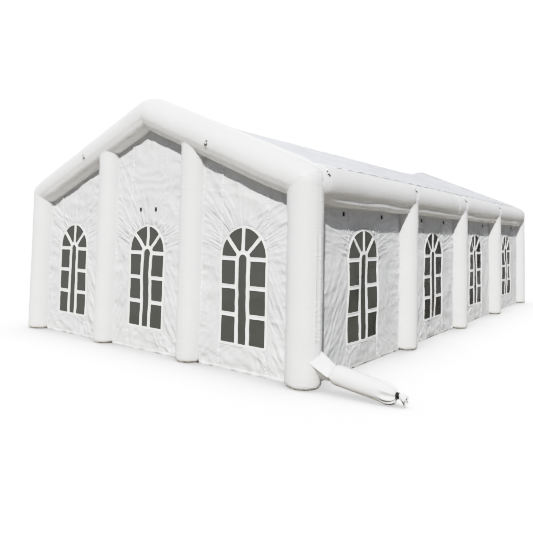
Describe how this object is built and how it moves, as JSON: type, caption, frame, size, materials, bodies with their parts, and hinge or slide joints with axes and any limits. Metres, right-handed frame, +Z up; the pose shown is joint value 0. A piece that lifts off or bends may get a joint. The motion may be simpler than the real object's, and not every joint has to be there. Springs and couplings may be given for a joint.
{
  "type": "inflatable marquee tent",
  "caption": "White inflatable marquee with a gabled tube frame, a sheet roof, walls with arched windows and an inflation sleeve.",
  "frame": {"origin": "on the ground under the middle of the bounding box, inflation sleeve included", "axes": "+Z up, +Y from the front gable to the rear gable, +X to the side that the inflation sleeve is on"},
  "size_m": [7.0506, 11.68, 3.8097],
  "materials": {
    "air_tube": "matt coated polyester, blown tight",
    "roof_sheet": "coated polyester sheet",
    "wall_sheet": "coated polyester sheet, wrinkled",
    "window_film": "clear vinyl film that looks dark from outside",
    "sleeve": "light coated polyester",
    "strap": "woven polyester webbing"
  },
  "bodies": {
    "root": {"front_left_corner_post": "air_tube", "front_left_gable_beam": "air_tube", "front_right_corner_post": "air_tube", "front_right_gable_beam": "air_tube", "front_gable_post_1": "air_tube", "front_gable_post_2": "air_tube", "front_wall_1": "wall_sheet", "front_window_1": "window_film", "front_wall_2": "wall_sheet", "front_window_2": "window_film", "front_wall_3": "wall_sheet", "front_window_3": "window_film", "rear_left_corner_post": "air_tube", "rear_left_gable_beam": "air_tube", "rear_right_corner_post": "air_tube", "rear_right_gable_beam": "air_tube", "rear_gable_post_1": "air_tube", "rear_gable_post_2": "air_tube", "rear_wall_1": "wall_sheet", "rear_window_1": "window_film", "rear_wall_2": "wall_sheet", "rear_window_2": "window_film", "rear_wall_3": "wall_sheet", "rear_window_3": "window_film", "left_side_post_1": "air_tube", "left_rafter_1": "air_tube", "left_side_post_2": "air_tube", "left_rafter_2": "air_tube", "left_side_post_3": "air_tube", "left_rafter_3": "air_tube", "left_eave_tube": "air_tube", "left_roof_sheet": "roof_sheet", "left_wall_1": "wall_sheet", "left_window_1": "window_film", "left_wall_2": "wall_sheet", "left_window_2": "window_film", "left_wall_3": "wall_sheet", "left_window_3": "window_film", "left_wall_4": "wall_sheet", "left_window_4": "window_film", "right_side_post_1": "air_tube", "right_rafter_1": "air_tube", "right_side_post_2": "air_tube", "right_rafter_2": "air_tube", "right_side_post_3": "air_tube", "right_rafter_3": "air_tube", "right_eave_tube": "air_tube", "right_roof_sheet": "roof_sheet", "right_wall_1": "wall_sheet", "right_window_1": "window_film", "right_wall_2": "wall_sheet", "right_window_2": "window_film", "right_wall_3": "wall_sheet", "right_window_3": "window_film", "right_wall_4": "wall_sheet", "right_window_4": "window_film", "ridge_tube": "air_tube", "inflation_sleeve": "sleeve", "sleeve_tie": "strap"}
  },
  "joints": []
}
